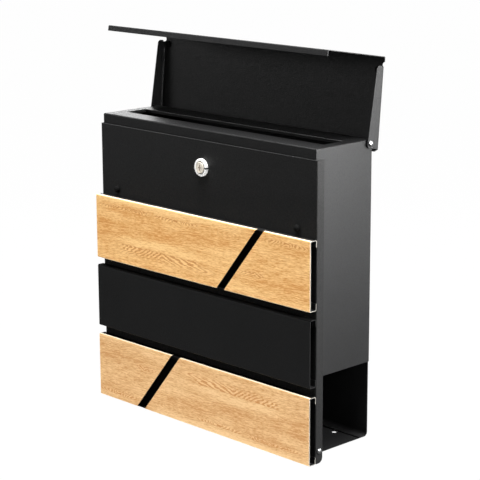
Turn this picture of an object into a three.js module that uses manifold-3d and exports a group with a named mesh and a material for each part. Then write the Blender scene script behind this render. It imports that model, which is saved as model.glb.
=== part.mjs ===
// Wall mounted mailbox: a folded sheet-steel case with a hinged lid, a full-height hinged door that carries three
// raised strips, and an open newspaper compartment below the letters. Millimetres, +Z up, front towards -Y.
import * as THREE from "three";
import { mergeVertices } from "three/addons/utils/BufferGeometryUtils.js";
import Module from "manifold-3d";

const wasm = await Module();
wasm.setup();

// ---------------------------------------------------------------------------------------------------------
// Driving dimensions. Depths run back from the case's front plane and heights run up from the case's top, so
// most heights are negative. The whole box is moved at the end, to put its origin on the wall face.
// ---------------------------------------------------------------------------------------------------------

const SHEET = 0.8; // steel sheet of every folded piece
const BEND = 0.8; // inner radius of an ordinary fold
const GAP = 0.3; // air kept between pieces that touch on the real box
const ARC_STEPS = 5; // facets along one fold
const ROUND_STEPS = 28; // facets around the lock
const SMALL_ROUND_STEPS = 16; // facets around a screw, rivet, bumper or hole

const FACE_WIDTH = 370; // door, strips and lid
const CASE_WIDTH = 363.2;
const CASE_DEPTH = 91;
const CASE_HEIGHT = 262.2; // top to the lower edge of the side panels
const TOP_ABOVE_ORIGIN = 182; // the origin is the middle of the wall face

const CASE = {
  lip: 25, // front lip, most of it behind the door
  lipReturn: 7.5, // fold at the lip's lower edge that the lock cam hooks behind
  sideReturn: 8, // narrow folds along the front edges of the side panels
  rearFlange: 20, // rear edge of the top, folded down flush with the back
};

const SLOT = { halfLength: 168, front: 26, rear: 58, collar: 4 };

const BACK = {
  bottom: -353.5,
  bend: 4.2,
  floorFront: 8,
  sideFlange: 12,
  sideFlangeBottom: -247,
  wallHole: { radius: 3.25, x: 125, heights: [-50, -235] },
  drainHole: { radius: 3, x: 146, depth: 71.5 },
  groove: { halfLength: 174, depth: 77, width: 1.6, cut: 0.5 }, // pressed line that carries rain to the holes
};

const TRAY = { front: 1.3, height: 12 };

const DOOR = {
  front: -1.8,
  top: -12.3,
  bottom: -363.6,
  flange: 11.1,
  cornerRadius: 6,
  hinge: { depth: 3.6, height: -348.9 },
};

const EAR = { noseRadius: 4.2, length: 10, rise: 8 };

const STRIP = { front: -12.2, lip: 8.5, slantRun: 66 };
const STRIPS = [
  { name: "upper", top: -101.3, bottom: -182.3, slot: { topLeft: 99.8, width: 12.2 } },
  { name: "middle", top: -192.0, bottom: -271.7, slot: null },
  { name: "lower", top: -282.8, bottom: -363.6, slot: { topLeft: -47.2, width: 14.4 } },
];
const FILM = { thickness: 0.25, gap: 0.1, inset: 0.5 };
const RIVET = { x: 150, fromEdge: 5, shank: 1.6, head: 3.2, headHeight: 0.6, tail: 2.5, tailLength: 1.2 };

const LOCK = {
  height: -44.2,
  rim: 10.6,
  proud: 4,
  bevel: 1.2,
  notch: { inner: 8.8, halfHeight: 0.6, depth: 2.6 }, // index mark in the rim
  barrel: 9,
  barrelEnd: 8.3,
  plug: 6.6,
  keyway: { width: 1.7, height: 7.8, depth: 7 },
  square: 7,
  camFront: 8.9,
  camThickness: 2,
  camWidth: 14,
  camReach: 30,
  camCorner: 3,
  nutWidth: 24,
  nutThickness: 3.5,
};

const LID = {
  hinge: { depth: 85, height: -4 },
  openAngle: 99.5, // degrees from closed; the lid stands open at rest
  fold: { y: -98.3, z: 6.8 }, // roof-to-flap fold of the closed lid, from the hinge axis
  sideBend: 2, // inner radius of the folds between roof and side flanges
  roofLength: 104.4,
  roofSlope: 4.67, // degrees
  flap: 95.4,
  hem: 6.8,
  stopLip: 7.7,
  stopLipAngle: 65, // degrees below the horizontal when closed
  flangeBottom: -4.55,
  flangeFront: -87.6,
  flangeCorner: 4.5,
  relief: 3, // round notch at the front end of each side fold
};

const BUMPER = {
  radius: 4.3,
  door: { x: 155, height: -92.5, thickness: 4.1 },
  lid: { x: 177, fromFold: 15, thickness: 2.5 },
};

const SCREW = { shank: 1.5, head: 3.5, headHeight: 2.1, recess: { length: 3.8, width: 0.8, depth: 1 } };
const NUT = { acrossFlats: 5.5, thickness: 2.4 };
const SPACER_RADIUS = 3.5;

const HALF_CASE = CASE_WIDTH / 2;
const HALF_INNER = HALF_CASE - SHEET - GAP; // pieces nested between the side panels
const HALF_FACE = FACE_WIDTH / 2;

const blackCoat = new THREE.MeshStandardMaterial({ color: 0x1b1b1c, roughness: 0.55, metalness: 0.2 });
const woodFilm = new THREE.MeshStandardMaterial({ color: 0xcf9c62, roughness: 0.5, metalness: 0 });
const rubber = new THREE.MeshStandardMaterial({ color: 0x0c0c0c, roughness: 0.8, metalness: 0 });
const nylon = new THREE.MeshStandardMaterial({ color: 0x161616, roughness: 0.6, metalness: 0 });
const zinc = new THREE.MeshStandardMaterial({ color: 0xc9cac8, roughness: 0.3, metalness: 1 });
const chrome = new THREE.MeshStandardMaterial({ color: 0xd8d9db, roughness: 0.12, metalness: 1 });

// ---------------------------------------------------------------------------------------------------------
// Geometry helpers
// ---------------------------------------------------------------------------------------------------------

/** A closed mesh as a solid that can be cut and joined. */
function solid(geometry) {
  const bare = new THREE.BufferGeometry();
  bare.setAttribute("position", geometry.attributes.position.clone());
  bare.setIndex(geometry.index ? geometry.index.clone() : null);
  const merged = mergeVertices(bare, 1e-4);
  const corners = merged.index.array;
  const triangles = [];
  for (let i = 0; i < corners.length; i += 3) {
    const [a, b, c] = corners.slice(i, i + 3);
    if (a !== b && b !== c && c !== a) triangles.push(a, b, c);
  }
  const mesh = new wasm.Mesh({
    numProp: 3,
    vertProperties: Float32Array.from(merged.attributes.position.array),
    triVerts: Uint32Array.from(triangles),
  });
  return new wasm.Manifold(mesh);
}

/** The mesh of a finished solid. */
function geometryOf(body) {
  const mesh = body.getMesh();
  const geometry = new THREE.BufferGeometry();
  geometry.setAttribute("position", new THREE.BufferAttribute(mesh.vertProperties, 3));
  geometry.setIndex(new THREE.BufferAttribute(mesh.triVerts, 1));
  geometry.computeVertexNormals();
  return geometry;
}

const X = new THREE.Vector3(1, 0, 0);
const Y = new THREE.Vector3(0, 1, 0);
const Z = new THREE.Vector3(0, 0, 1);

/** A flat outline pushed from `low` to `high` along x (outline in y, z), y (in x, z) or z (in x, y). */
function prism(outline, axis, low, high) {
  const bases = { x: [Y, Z, X, low], y: [X, Z, Y.clone().negate(), -high], z: [X, Y, Z, low] };
  const [u, v, w, start] = bases[axis];
  const geometry = new THREE.ExtrudeGeometry(new THREE.Shape(outline), { depth: high - low, bevelEnabled: false });
  const placed = new THREE.Matrix4().makeBasis(u, v, w).setPosition(w.clone().multiplyScalar(start));
  return solid(geometry.applyMatrix4(placed));
}

/** A solid turned about the y axis from points of (radius, y), starting and ending on the axis or closed. */
function turned(points, steps = SMALL_ROUND_STEPS) {
  const profile = points.map(([radius, y]) => new THREE.Vector2(radius, y));
  return solid(new THREE.LatheGeometry(profile, steps));
}

function block(x0, x1, y0, y1, z0, z1) {
  const box = new THREE.BoxGeometry(x1 - x0, y1 - y0, z1 - z0);
  return solid(box.translate((x0 + x1) / 2, (y0 + y1) / 2, (z0 + z1) / 2));
}

/** Points of an arc about (u, v), from one angle to another in radians. */
function arc(u, v, radius, from, to, steps) {
  const points = [];
  for (let i = 0; i <= steps; i += 1) {
    const angle = from + ((to - from) * i) / steps;
    points.push(new THREE.Vector2(u + radius * Math.cos(angle), v + radius * Math.sin(angle)));
  }
  return points;
}

function circle(u, v, radius) {
  const steps = radius < LOCK.plug ? SMALL_ROUND_STEPS : ROUND_STEPS;
  return arc(u, v, radius, 0, 2 * Math.PI, steps).slice(1);
}

/** A straight round bar or drill along `axis`, centred on (u, v) of that axis's outline plane. */
function rod(axis, u, v, radius, low, high) {
  return prism(circle(u, v, radius), axis, low, high);
}

function polygon(pairs) {
  return pairs.map(([u, v]) => new THREE.Vector2(u, v));
}

/** Where a round corner of `radius` between three points starts turning, and about which centre. */
function cornerArc(previous, point, next, radius) {
  const before = point.clone().sub(previous).normalize();
  const after = next.clone().sub(point).normalize();
  const turn = Math.acos(THREE.MathUtils.clamp(before.dot(after), -1, 1));
  const centre = point.clone().addScaledVector(before, -radius * Math.tan(turn / 2));
  centre.add(new THREE.Vector2(-before.y, before.x).multiplyScalar(radius));
  const from = Math.atan2(-before.x, before.y);
  return { centre, from, to: from + turn };
}

/** A convex outline, counter-clockwise, from corners of [u, v, radius]. */
function roundedPolygon(corners) {
  const points = polygon(corners);
  const count = points.length;
  return corners.flatMap(([, , radius = 0], index) => {
    if (radius === 0) return [points[index]];
    const around = [points[(index + count - 1) % count], points[index], points[(index + 1) % count]];
    const { centre, from, to } = cornerArc(...around, radius);
    return arc(centre.x, centre.y, radius, from, to, ARC_STEPS);
  });
}

/**
 * The closed outline of a folded sheet, seen along its folds. `pairs` follow the sheet's outer face, and the path
 * turns left at every fold, so the sheet's thickness lies on its left.
 */
function foldedSheet(pairs, bend = BEND) {
  const points = polygon(pairs);
  const last = points.length - 1;
  const innerEnd = (point, other) => {
    const along = other.clone().sub(point).normalize();
    return point.clone().add(new THREE.Vector2(-along.y, along.x).multiplyScalar(SHEET));
  };
  const outer = [points[0]];
  const inner = [innerEnd(points[0], points[1])];
  for (let i = 1; i < last; i += 1) {
    const { centre, from, to } = cornerArc(points[i - 1], points[i], points[i + 1], bend + SHEET);
    outer.push(...arc(centre.x, centre.y, bend + SHEET, from, to, ARC_STEPS));
    inner.push(...arc(centre.x, centre.y, bend, from, to, ARC_STEPS));
  }
  const beyond = points[last].clone().multiplyScalar(2).sub(points[last - 1]);
  outer.push(points[last]);
  inner.push(innerEnd(points[last], beyond));
  return [...outer, ...inner.reverse()];
}

function joined(...bodies) {
  return bodies.reduce((sum, body) => sum.add(body));
}

function cut(body, ...tools) {
  return tools.reduce((rest, tool) => rest.subtract(tool), body);
}

function piece(name, body, material, position = [0, 0, 0], rotation = [0, 0, 0]) {
  const mesh = new THREE.Mesh(geometryOf(body), material);
  mesh.name = name;
  mesh.position.set(...position);
  mesh.rotation.set(...rotation);
  return mesh;
}

const SIDES = [{ name: "left", sign: -1 }, { name: "right", sign: 1 }];

/** Two numbers with the lower one first. */
function span(a, b) {
  return [Math.min(a, b), Math.max(a, b)];
}

// ---------------------------------------------------------------------------------------------------------
// Case: shell, back panel with newspaper floor, and letter tray
// ---------------------------------------------------------------------------------------------------------

/** The case's outer block, or with an inset its hollow, with round top edges. */
function roundedCaseBlock(inset, bottom, radius) {
  const profile = (low, high) => roundedPolygon([
    [low, bottom], [high, bottom], [high, -inset, radius], [low, -inset, radius],
  ]);
  const rear = CASE_DEPTH - inset;
  const across = prism(profile(-HALF_CASE + inset, HALF_CASE - inset), "y", inset, rear);
  return across.intersect(prism(profile(inset, rear), "x", -HALF_CASE, HALF_CASE));
}

function caseShell() {
  const outside = roundedCaseBlock(0, -CASE_HEIGHT, BEND + SHEET);
  const hollow = roundedCaseBlock(SHEET, -CASE_HEIGHT - 1, BEND);
  const opening = HALF_CASE - CASE.sideReturn;
  const front = block(-opening, opening, -1, SHEET + 1, -CASE_HEIGHT - 1, -CASE.lip);
  const halfRear = HALF_CASE - SHEET;
  const rear = block(-halfRear, halfRear, CASE_DEPTH - SHEET - 1, CASE_DEPTH + 1, -CASE_HEIGHT - 1, -CASE.rearFlange);
  const lipReturn = block(-HALF_INNER, HALF_INNER, SHEET / 2, CASE.lipReturn, -CASE.lip, -CASE.lip + SHEET);
  const collar = block(
    -SLOT.halfLength - SHEET, SLOT.halfLength + SHEET, SLOT.front - SHEET, SLOT.rear + SHEET, -SLOT.collar, -SHEET / 2,
  );
  const slot = block(-SLOT.halfLength, SLOT.halfLength, SLOT.front, SLOT.rear, -SLOT.collar - 1, 1);
  const hinge = rod("x", LID.hinge.depth, LID.hinge.height, SCREW.shank + GAP, -HALF_CASE - 1, HALF_CASE + 1);
  const shell = cut(outside, hollow, front, rear);
  return piece("case_shell", cut(joined(shell, lipReturn, collar), slot, hinge), blackCoat);
}

/** One end of the newspaper floor, turned up to carry the door hinge and rounded to clear the turning door. */
function hingeEar(low, high) {
  const { depth, height } = DOOR.hinge;
  const nose = rod("x", depth, height, EAR.noseRadius, low, high);
  const plate = block(low, high, depth, depth + EAR.length, height - EAR.noseRadius, height + EAR.rise);
  return nose.add(plate);
}

function backPanel() {
  const backTop = -CASE.rearFlange - GAP;
  const route = [[BACK.floorFront, BACK.bottom], [CASE_DEPTH, BACK.bottom], [CASE_DEPTH, backTop]];
  let panel = prism(foldedSheet(route, BACK.bend), "x", -HALF_INNER, HALF_INNER);
  for (const { sign } of SIDES) {
    const [low, high] = span(sign * HALF_INNER, sign * (HALF_INNER - SHEET));
    const flangeFront = CASE_DEPTH - BACK.sideFlange;
    const flange = block(low, high, flangeFront, CASE_DEPTH - SHEET / 2, BACK.sideFlangeBottom, backTop);
    panel = joined(panel, flange, hingeEar(low, high));
    for (const height of BACK.wallHole.heights) {
      const hole = rod("y", sign * BACK.wallHole.x, height, BACK.wallHole.radius, CASE_DEPTH - 3, CASE_DEPTH + 3);
      panel = panel.subtract(hole);
    }
    const { x, depth, radius } = BACK.drainHole;
    panel = panel.subtract(rod("z", sign * x, depth, radius, BACK.bottom - 3, BACK.bottom + 3));
  }
  const { groove } = BACK;
  const floorTop = BACK.bottom + SHEET;
  const line = block(
    -groove.halfLength, groove.halfLength, groove.depth - groove.width / 2, groove.depth + groove.width / 2,
    floorTop - groove.cut, floorTop + 1,
  );
  const hinge = rod("x", DOOR.hinge.depth, DOOR.hinge.height, SCREW.shank + GAP, -HALF_FACE, HALF_FACE);
  return piece("back_panel", cut(panel, line, hinge), blackCoat);
}

function letterTray() {
  const rear = CASE_DEPTH - SHEET - GAP;
  const top = -CASE_HEIGHT + TRAY.height;
  const outside = block(-HALF_INNER, HALF_INNER, TRAY.front, rear, -CASE_HEIGHT, top);
  const half = HALF_INNER - SHEET;
  const hollow = block(-half, half, TRAY.front + SHEET, rear - SHEET, -CASE_HEIGHT + SHEET, top + 1);
  return piece("letter_tray", cut(outside, hollow), blackCoat);
}

// ---------------------------------------------------------------------------------------------------------
// Fasteners and small parts
// ---------------------------------------------------------------------------------------------------------

/** A cross-recessed screw with a low round head; the head's underside is at y = 0 and its top faces +y. */
function hingeScrew(length) {
  const { shank, head, headHeight, recess } = SCREW;
  const crown = arc(0, 0.5, 1, Math.PI / 12, Math.PI / 2, 4).map(({ x, y }) => [
    x * head, 0.5 + (y - 0.5) * (headHeight - 0.5),
  ]);
  const body = turned([[0, -length], [shank, -length], [shank, 0], [head, 0], ...crown.slice(0, -1), [0, headHeight]]);
  const half = recess.length / 2;
  const thin = recess.width / 2;
  const floor = headHeight - recess.depth;
  return cut(
    body,
    block(-half, half, floor, headHeight + 1, -thin, thin),
    block(-thin, thin, floor, headHeight + 1, -half, half),
  );
}

/** A hexagonal nut along y, standing on y = 0. */
function hexNut(acrossFlats, thickness, hole) {
  const outline = arc(0, 0, acrossFlats / Math.sqrt(3), Math.PI / 6, Math.PI / 6 + 2 * Math.PI, 6).slice(1);
  return cut(prism(outline, "y", 0, thickness), rod("y", 0, 0, hole, -1, thickness + 1));
}

function ring(outer, inner, thickness) {
  return cut(rod("y", 0, 0, outer, 0, thickness), rod("y", 0, 0, inner, -1, thickness + 1));
}

/** Screw, spacer and nut of both hinges on one axis. `carrier` is the outer face of the sheet that holds the nut. */
function hingeSet(name, { depth, height }, carrier) {
  const hole = SCREW.shank + GAP;
  const headSeat = HALF_FACE + GAP;
  const nutTop = carrier - SHEET - GAP;
  const spacerLength = HALF_FACE - SHEET - carrier - 2 * GAP;
  const screwLength = headSeat - nutTop + NUT.thickness + 0.8;
  return SIDES.flatMap((side) => {
    const at = (x) => [side.sign * x, depth, height];
    const outward = [0, 0, (-side.sign * Math.PI) / 2];
    const nut = hexNut(NUT.acrossFlats, NUT.thickness, hole);
    return [
      piece(`${name}_screw_${side.name}`, hingeScrew(screwLength), zinc, at(headSeat), outward),
      piece(`${name}_spacer_${side.name}`, ring(SPACER_RADIUS, hole, spacerLength), nylon, at(carrier + GAP), outward),
      piece(`${name}_nut_${side.name}`, nut, zinc, at(nutTop - NUT.thickness), outward),
    ];
  });
}

/** A stick-on rubber dome standing on y = 0. */
function dome(thickness) {
  const { radius } = BUMPER;
  const shoulder = thickness * 0.35;
  const crown = [];
  for (let i = 0; i < 4; i += 1) {
    const angle = (i * Math.PI) / 8;
    crown.push([radius * Math.cos(angle), shoulder + (thickness - shoulder) * Math.sin(angle)]);
  }
  return turned([[0, 0], [radius, 0], ...crown, [0, thickness]]);
}

/** A blind rivet: the head is inside the door, the formed tail inside the strip, towards +y from the door's front. */
function rivet() {
  const headSeat = -SHEET - GAP;
  const tailSeat = 2 * GAP + SHEET + 0.05;
  const { shank, head, headHeight, tail, tailLength } = RIVET;
  return turned([
    [0, headSeat - headHeight], [head * 0.6, headSeat - headHeight], [head, headSeat], [shank, headSeat],
    [shank, tailSeat], [tail, tailSeat], [tail * 0.7, tailSeat + tailLength], [0, tailSeat + tailLength],
  ]);
}

// ---------------------------------------------------------------------------------------------------------
// Door: panel, strips, film, rivets, bumpers and the fixed half of the lock
// ---------------------------------------------------------------------------------------------------------

/** Rivet places of one strip as [x, height]. */
function rivetPlaces({ top, bottom }) {
  return [top - RIVET.fromEdge, bottom + RIVET.fromEdge].flatMap((height) => [
    [-RIVET.x, height], [RIVET.x, height],
  ]);
}

function rivetHoles(strip) {
  return rivetPlaces(strip).map(([x, height]) => rod("y", x, height, RIVET.shank + GAP, -4.5, 0));
}

function doorPanel() {
  const rear = DOOR.front + DOOR.flange;
  const route = [[-HALF_FACE, rear], [-HALF_FACE, DOOR.front], [HALF_FACE, DOOR.front], [HALF_FACE, rear]];
  const folded = prism(foldedSheet(route), "z", DOOR.bottom, DOOR.top);
  const radius = DOOR.cornerRadius;
  const beyond = HALF_FACE + 1;
  const corner = cut(
    block(-beyond, beyond, rear - radius, rear + 1, DOOR.bottom - 1, DOOR.bottom + radius),
    rod("x", rear - radius, DOOR.bottom + radius, radius, -beyond - 1, beyond + 1),
  );
  const lockHole = rod("y", 0, LOCK.height, LOCK.barrel + GAP, DOOR.front - 1, 1);
  const hinge = rod("x", DOOR.hinge.depth, DOOR.hinge.height, SCREW.shank + GAP, -beyond, beyond);
  return piece("door_panel", cut(folded, corner, lockHole, hinge, ...STRIPS.flatMap(rivetHoles)), blackCoat);
}

/** The slanting cut across a strip's face as [x, height] corners, carried `extra` past both long edges. */
function slantedCut({ top, bottom, slot }, extra = 0) {
  const lean = (STRIP.slantRun / (top - bottom)) * extra;
  const left = slot.topLeft;
  const low = left - STRIP.slantRun;
  return [
    [low - lean, bottom - extra], [low + slot.width - lean, bottom - extra],
    [left + slot.width + lean, top + extra], [left + lean, top + extra],
  ];
}

function stripChannel(strip) {
  const { top, bottom } = strip;
  const back = DOOR.front - GAP;
  const route = [
    [back, top - STRIP.lip], [back, top], [STRIP.front, top],
    [STRIP.front, bottom], [back, bottom], [back, bottom + STRIP.lip],
  ];
  let channel = cut(prism(foldedSheet(route), "x", -HALF_FACE, HALF_FACE), ...rivetHoles(strip));
  if (strip.slot) {
    const tool = prism(polygon(slantedCut(strip, 1)), "y", STRIP.front - 1, STRIP.front + SHEET + 0.1);
    channel = channel.subtract(tool);
  }
  return piece(`${strip.name}_strip`, channel, blackCoat);
}

/** The two wood-look film panels on a strip's face, left and right of its slanting cut. */
function filmPanels(strip) {
  const high = STRIP.front - FILM.gap;
  const low = high - FILM.thickness;
  const edge = HALF_FACE - FILM.inset / 2;
  const [lowLeft, lowRight, topRight, topLeft] = slantedCut(strip, -FILM.inset);
  const inset = FILM.inset / 2;
  const bottom = lowLeft[1];
  const top = topLeft[1];
  const left = [[-edge, bottom], [lowLeft[0] - inset, bottom], [topLeft[0] - inset, top], [-edge, top]];
  const right = [[lowRight[0] + inset, bottom], [edge, bottom], [edge, top], [topRight[0] + inset, top]];
  return [
    piece(`${strip.name}_wood_film_left`, prism(polygon(left), "y", low, high), woodFilm),
    piece(`${strip.name}_wood_film_right`, prism(polygon(right), "y", low, high), woodFilm),
  ];
}

function stripRivets(strip) {
  const corners = ["top_left", "top_right", "bottom_left", "bottom_right"];
  return rivetPlaces(strip).map(([x, height], index) => piece(
    `${strip.name}_strip_rivet_${corners[index]}`, rivet(), zinc, [x, DOOR.front, height], [Math.PI, 0, 0],
  ));
}

function doorBumpers() {
  const { x, height, thickness } = BUMPER.door;
  return SIDES.map(({ name, sign }) => piece(
    `door_bumper_${name}`, dome(thickness), rubber, [sign * x, DOOR.front - GAP, height], [Math.PI, 0, 0],
  ));
}

/** The lock's fixed barrel with its bright rim, along +y from the door's front plane. */
function lockHousing() {
  const bore = LOCK.plug + GAP;
  const rear = DOOR.front - LOCK.barrelEnd;
  const body = turned([
    [bore, rear], [LOCK.barrel, rear], [LOCK.barrel, GAP], [LOCK.rim, GAP], [LOCK.rim, LOCK.proud - LOCK.bevel],
    [LOCK.rim - LOCK.bevel, LOCK.proud], [bore + 0.6, LOCK.proud], [bore, LOCK.proud - 0.6], [bore, rear],
  ], ROUND_STEPS);
  const { inner, halfHeight, depth } = LOCK.notch;
  const notch = block(inner, LOCK.rim + 1, LOCK.proud - depth, LOCK.proud + 1, -halfHeight, halfHeight);
  return piece("lock_housing", cut(body, notch), chrome, [0, DOOR.front, LOCK.height], [Math.PI, 0, 0]);
}

function lockNut() {
  const seat = DOOR.front + SHEET + GAP;
  const nut = hexNut(LOCK.nutWidth, LOCK.nutThickness, LOCK.barrel + GAP);
  return piece("lock_nut", nut, zinc, [0, seat, LOCK.height]);
}

// ---------------------------------------------------------------------------------------------------------
// Turning half of the lock: plug, cam and cam screw, all about the lock's axis
// ---------------------------------------------------------------------------------------------------------

function lockPlug() {
  const front = DOOR.front - LOCK.proud + 0.7;
  const rear = LOCK.barrelEnd + 0.2;
  const half = LOCK.square / 2;
  const { width, height, depth } = LOCK.keyway;
  const body = joined(
    rod("y", 0, 0, LOCK.plug, front, rear),
    block(-half, half, rear - 1, LOCK.camFront + LOCK.camThickness + 0.1, -half, half),
  );
  const keyway = block(-width / 2, width / 2, front - 1, front + depth, -height / 2, height / 2);
  const screwHole = rod("y", 0, 0, SCREW.shank + GAP, rear - 4, rear + 8);
  return piece("lock_plug", cut(body, keyway, screwHole), chrome, [0, 0, LOCK.height]);
}

/** The latch cam, a flat round-ended arm that points left while the lock is open. */
function lockCam() {
  const radius = LOCK.camWidth / 2;
  const corner = LOCK.camCorner;
  const end = -LOCK.camReach + corner;
  const quarter = Math.PI / 2;
  const arm = [
    ...arc(end, corner - radius, corner, 2 * quarter, 3 * quarter, ARC_STEPS),
    ...arc(0, 0, radius, -quarter, quarter, 2 * ARC_STEPS),
    ...arc(end, radius - corner, corner, quarter, 2 * quarter, ARC_STEPS),
  ];
  const half = LOCK.square / 2 + GAP;
  const back = LOCK.camFront + LOCK.camThickness;
  const body = cut(prism(arm, "y", LOCK.camFront, back), block(-half, half, 0, 2 * back, -half, half));
  return piece("lock_cam", body, zinc, [0, 0, LOCK.height]);
}

function camScrew() {
  const seat = LOCK.camFront + LOCK.camThickness + GAP + 0.1;
  const body = joined(
    rod("y", 0, 0, SCREW.shank, seat - 5, seat + 1),
    rod("y", 0, 0, LOCK.plug, seat, seat + 0.8),
    prism(arc(0, 0, 4, 0, 2 * Math.PI, 6).slice(1), "y", seat + 0.5, seat + 3),
  );
  return piece("cam_screw", body, zinc, [0, 0, LOCK.height]);
}

// ---------------------------------------------------------------------------------------------------------
// Lid, drawn closed about its hinge axis and then turned open
// ---------------------------------------------------------------------------------------------------------

const SLOPE = THREE.MathUtils.degToRad(LID.roofSlope);

/** A point of the closed lid, from its hinge axis, as seen in the roof's plane: y behind the fold, z above it. */
function inRoofPlane([y, z]) {
  const fromFold = new THREE.Vector2(y - LID.fold.y, z - LID.fold.z);
  return fromFold.rotateAround(new THREE.Vector2(), -SLOPE).toArray();
}

/** Roof, flap, hem and rear stop lip as one sheet folded across the lid. */
function lidSheet() {
  const { fold, flap, hem, stopLip, roofLength } = LID;
  const dip = THREE.MathUtils.degToRad(LID.stopLipAngle) + SLOPE;
  const stop = [roofLength + stopLip * Math.cos(dip), -stopLip * Math.sin(dip)];
  const flapEnd = inRoofPlane([fold.y, fold.z - flap]);
  const hemEnd = inRoofPlane([fold.y + hem, fold.z - flap]);
  return prism(foldedSheet([stop, [roofLength, 0], [0, 0], flapEnd, hemEnd]), "x", -HALF_FACE, HALF_FACE);
}

/** Both side flanges with their folds, cut to the outline that shows from the side. */
function lidFlanges() {
  const drop = 30;
  const radius = LID.sideBend + SHEET;
  const route = [[HALF_FACE, -drop], [HALF_FACE, 0], [-HALF_FACE, 0], [-HALF_FACE, -drop]];
  const rear = LID.fold.y + LID.roofLength * Math.cos(SLOPE);
  const front = inRoofPlane([LID.flangeFront, LID.fold.z])[0];
  const outline = roundedPolygon([
    [front, 0],
    [...inRoofPlane([LID.flangeFront, LID.flangeBottom]), LID.flangeCorner],
    [...inRoofPlane([rear, LID.flangeBottom]), LID.flangeCorner],
    [LID.roofLength, 0, BEND + SHEET],
  ]);
  const flanges = prism(foldedSheet(route, LID.sideBend), "y", front - 5, LID.roofLength + 5);
  const trim = SIDES.map(({ sign }) => {
    const [low, high] = span(sign * (HALF_FACE - radius), sign * (HALF_FACE + 1));
    const edge = block(low, high, front, LID.roofLength + 10, -radius, 1);
    return edge.subtract(rod("y", sign * (HALF_FACE - radius), -radius, radius, front - 1, LID.roofLength + 11));
  });
  return { flanges: flanges.intersect(prism(outline, "x", -HALF_FACE, HALF_FACE)), trim };
}

function lidPanel() {
  const { flanges, trim } = lidFlanges();
  const [hingeY, hingeZ] = inRoofPlane([0, 0]);
  const hinge = rod("x", hingeY, hingeZ, SCREW.shank + GAP, -HALF_FACE - 1, HALF_FACE + 1);
  const reliefY = inRoofPlane([LID.flangeFront, LID.fold.z])[0] - LID.relief / 2;
  const reliefs = SIDES.map(({ sign }) => rod("z", sign * HALF_FACE, reliefY, LID.relief, -2 * LID.sideBend, 1));
  const panel = cut(cut(lidSheet(), ...trim).add(flanges), hinge, ...reliefs);
  return piece("lid_panel", panel, blackCoat, [0, LID.fold.y, LID.fold.z], [SLOPE, 0, 0]);
}

function lidBumpers() {
  const { x, fromFold, thickness } = BUMPER.lid;
  const seat = new THREE.Vector2(fromFold, -SHEET - GAP).rotateAround(new THREE.Vector2(), SLOPE);
  const place = [LID.fold.y + seat.x, LID.fold.z + seat.y];
  return SIDES.map(({ name, sign }) => piece(
    `lid_bumper_${name}`, dome(thickness), rubber, [sign * x, ...place], [SLOPE - Math.PI / 2, 0, 0],
  ));
}

function lid() {
  const group = new THREE.Group();
  group.add(lidPanel(), ...lidBumpers());
  group.position.set(0, LID.hinge.depth, LID.hinge.height);
  group.rotation.x = -THREE.MathUtils.degToRad(LID.openAngle);
  return group;
}

// ---------------------------------------------------------------------------------------------------------
// The whole mailbox
// ---------------------------------------------------------------------------------------------------------

const mailbox = new THREE.Group();
mailbox.position.set(0, -CASE_DEPTH, TOP_ABOVE_ORIGIN);
mailbox.add(caseShell(), backPanel(), letterTray());
mailbox.add(...hingeSet("lid_hinge", LID.hinge, HALF_CASE));
mailbox.add(...hingeSet("door_hinge", DOOR.hinge, HALF_INNER));
mailbox.add(doorPanel(), ...doorBumpers(), lockHousing(), lockNut());
for (const strip of STRIPS) {
  mailbox.add(stripChannel(strip), ...stripRivets(strip));
  if (strip.slot) mailbox.add(...filmPanels(strip));
}
mailbox.add(lockPlug(), lockCam(), camScrew(), lid());

const model = new THREE.Group();
model.add(mailbox);

export default model;
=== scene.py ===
"""A wall mounted mailbox in powder-coated steel, with an oak-look film on two of its three door strips.

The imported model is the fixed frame. Sheet-steel pieces get rounded cut edges, the small hardware and the
film panels are modelled afresh, and every piece gets its own procedural finish. Lengths are metres, +Z is up
and -Y is the front.
"""

import logging
import math
from collections.abc import Callable, Sequence
from dataclasses import dataclass
from enum import Enum
from itertools import product

import bmesh
import bpy
from mathutils import Matrix, Vector


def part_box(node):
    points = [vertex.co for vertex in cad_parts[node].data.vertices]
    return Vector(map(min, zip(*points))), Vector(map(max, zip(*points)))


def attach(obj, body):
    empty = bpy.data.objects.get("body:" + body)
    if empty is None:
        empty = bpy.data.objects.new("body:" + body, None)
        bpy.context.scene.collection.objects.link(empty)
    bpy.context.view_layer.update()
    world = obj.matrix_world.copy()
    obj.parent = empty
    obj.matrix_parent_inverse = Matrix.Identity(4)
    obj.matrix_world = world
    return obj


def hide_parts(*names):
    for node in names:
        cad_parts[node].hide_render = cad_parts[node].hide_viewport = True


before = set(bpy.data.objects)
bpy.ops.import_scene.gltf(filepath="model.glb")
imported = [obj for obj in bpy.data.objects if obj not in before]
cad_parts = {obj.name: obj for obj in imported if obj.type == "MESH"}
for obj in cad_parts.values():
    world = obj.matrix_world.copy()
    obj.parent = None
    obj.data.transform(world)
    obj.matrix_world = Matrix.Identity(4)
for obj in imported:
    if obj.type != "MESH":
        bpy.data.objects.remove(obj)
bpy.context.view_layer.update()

MM = 0.001
CLOSE = 0.05 * MM
MERGE = 0.002 * MM
LEFT_RIGHT = (("left", -1), ("right", 1))

log = logging.getLogger("mailbox")

Colour = tuple[float, float, float]
Test = Callable[[Vector, Vector], bool]


class Body(Enum):
    """The moving bodies of the mailbox."""

    CASE = "case"
    DOOR = "door"
    LOCK_CORE = "lock_core"
    LID = "lid"


class Slot(Enum):
    """The record's material slots."""

    BLACK_COAT = "black_coat"
    WOOD_FILM = "wood_film"
    RUBBER = "rubber"
    NYLON = "nylon"
    ZINC = "zinc"
    CHROME = "chrome"


# --- Shader graphs ---


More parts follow.
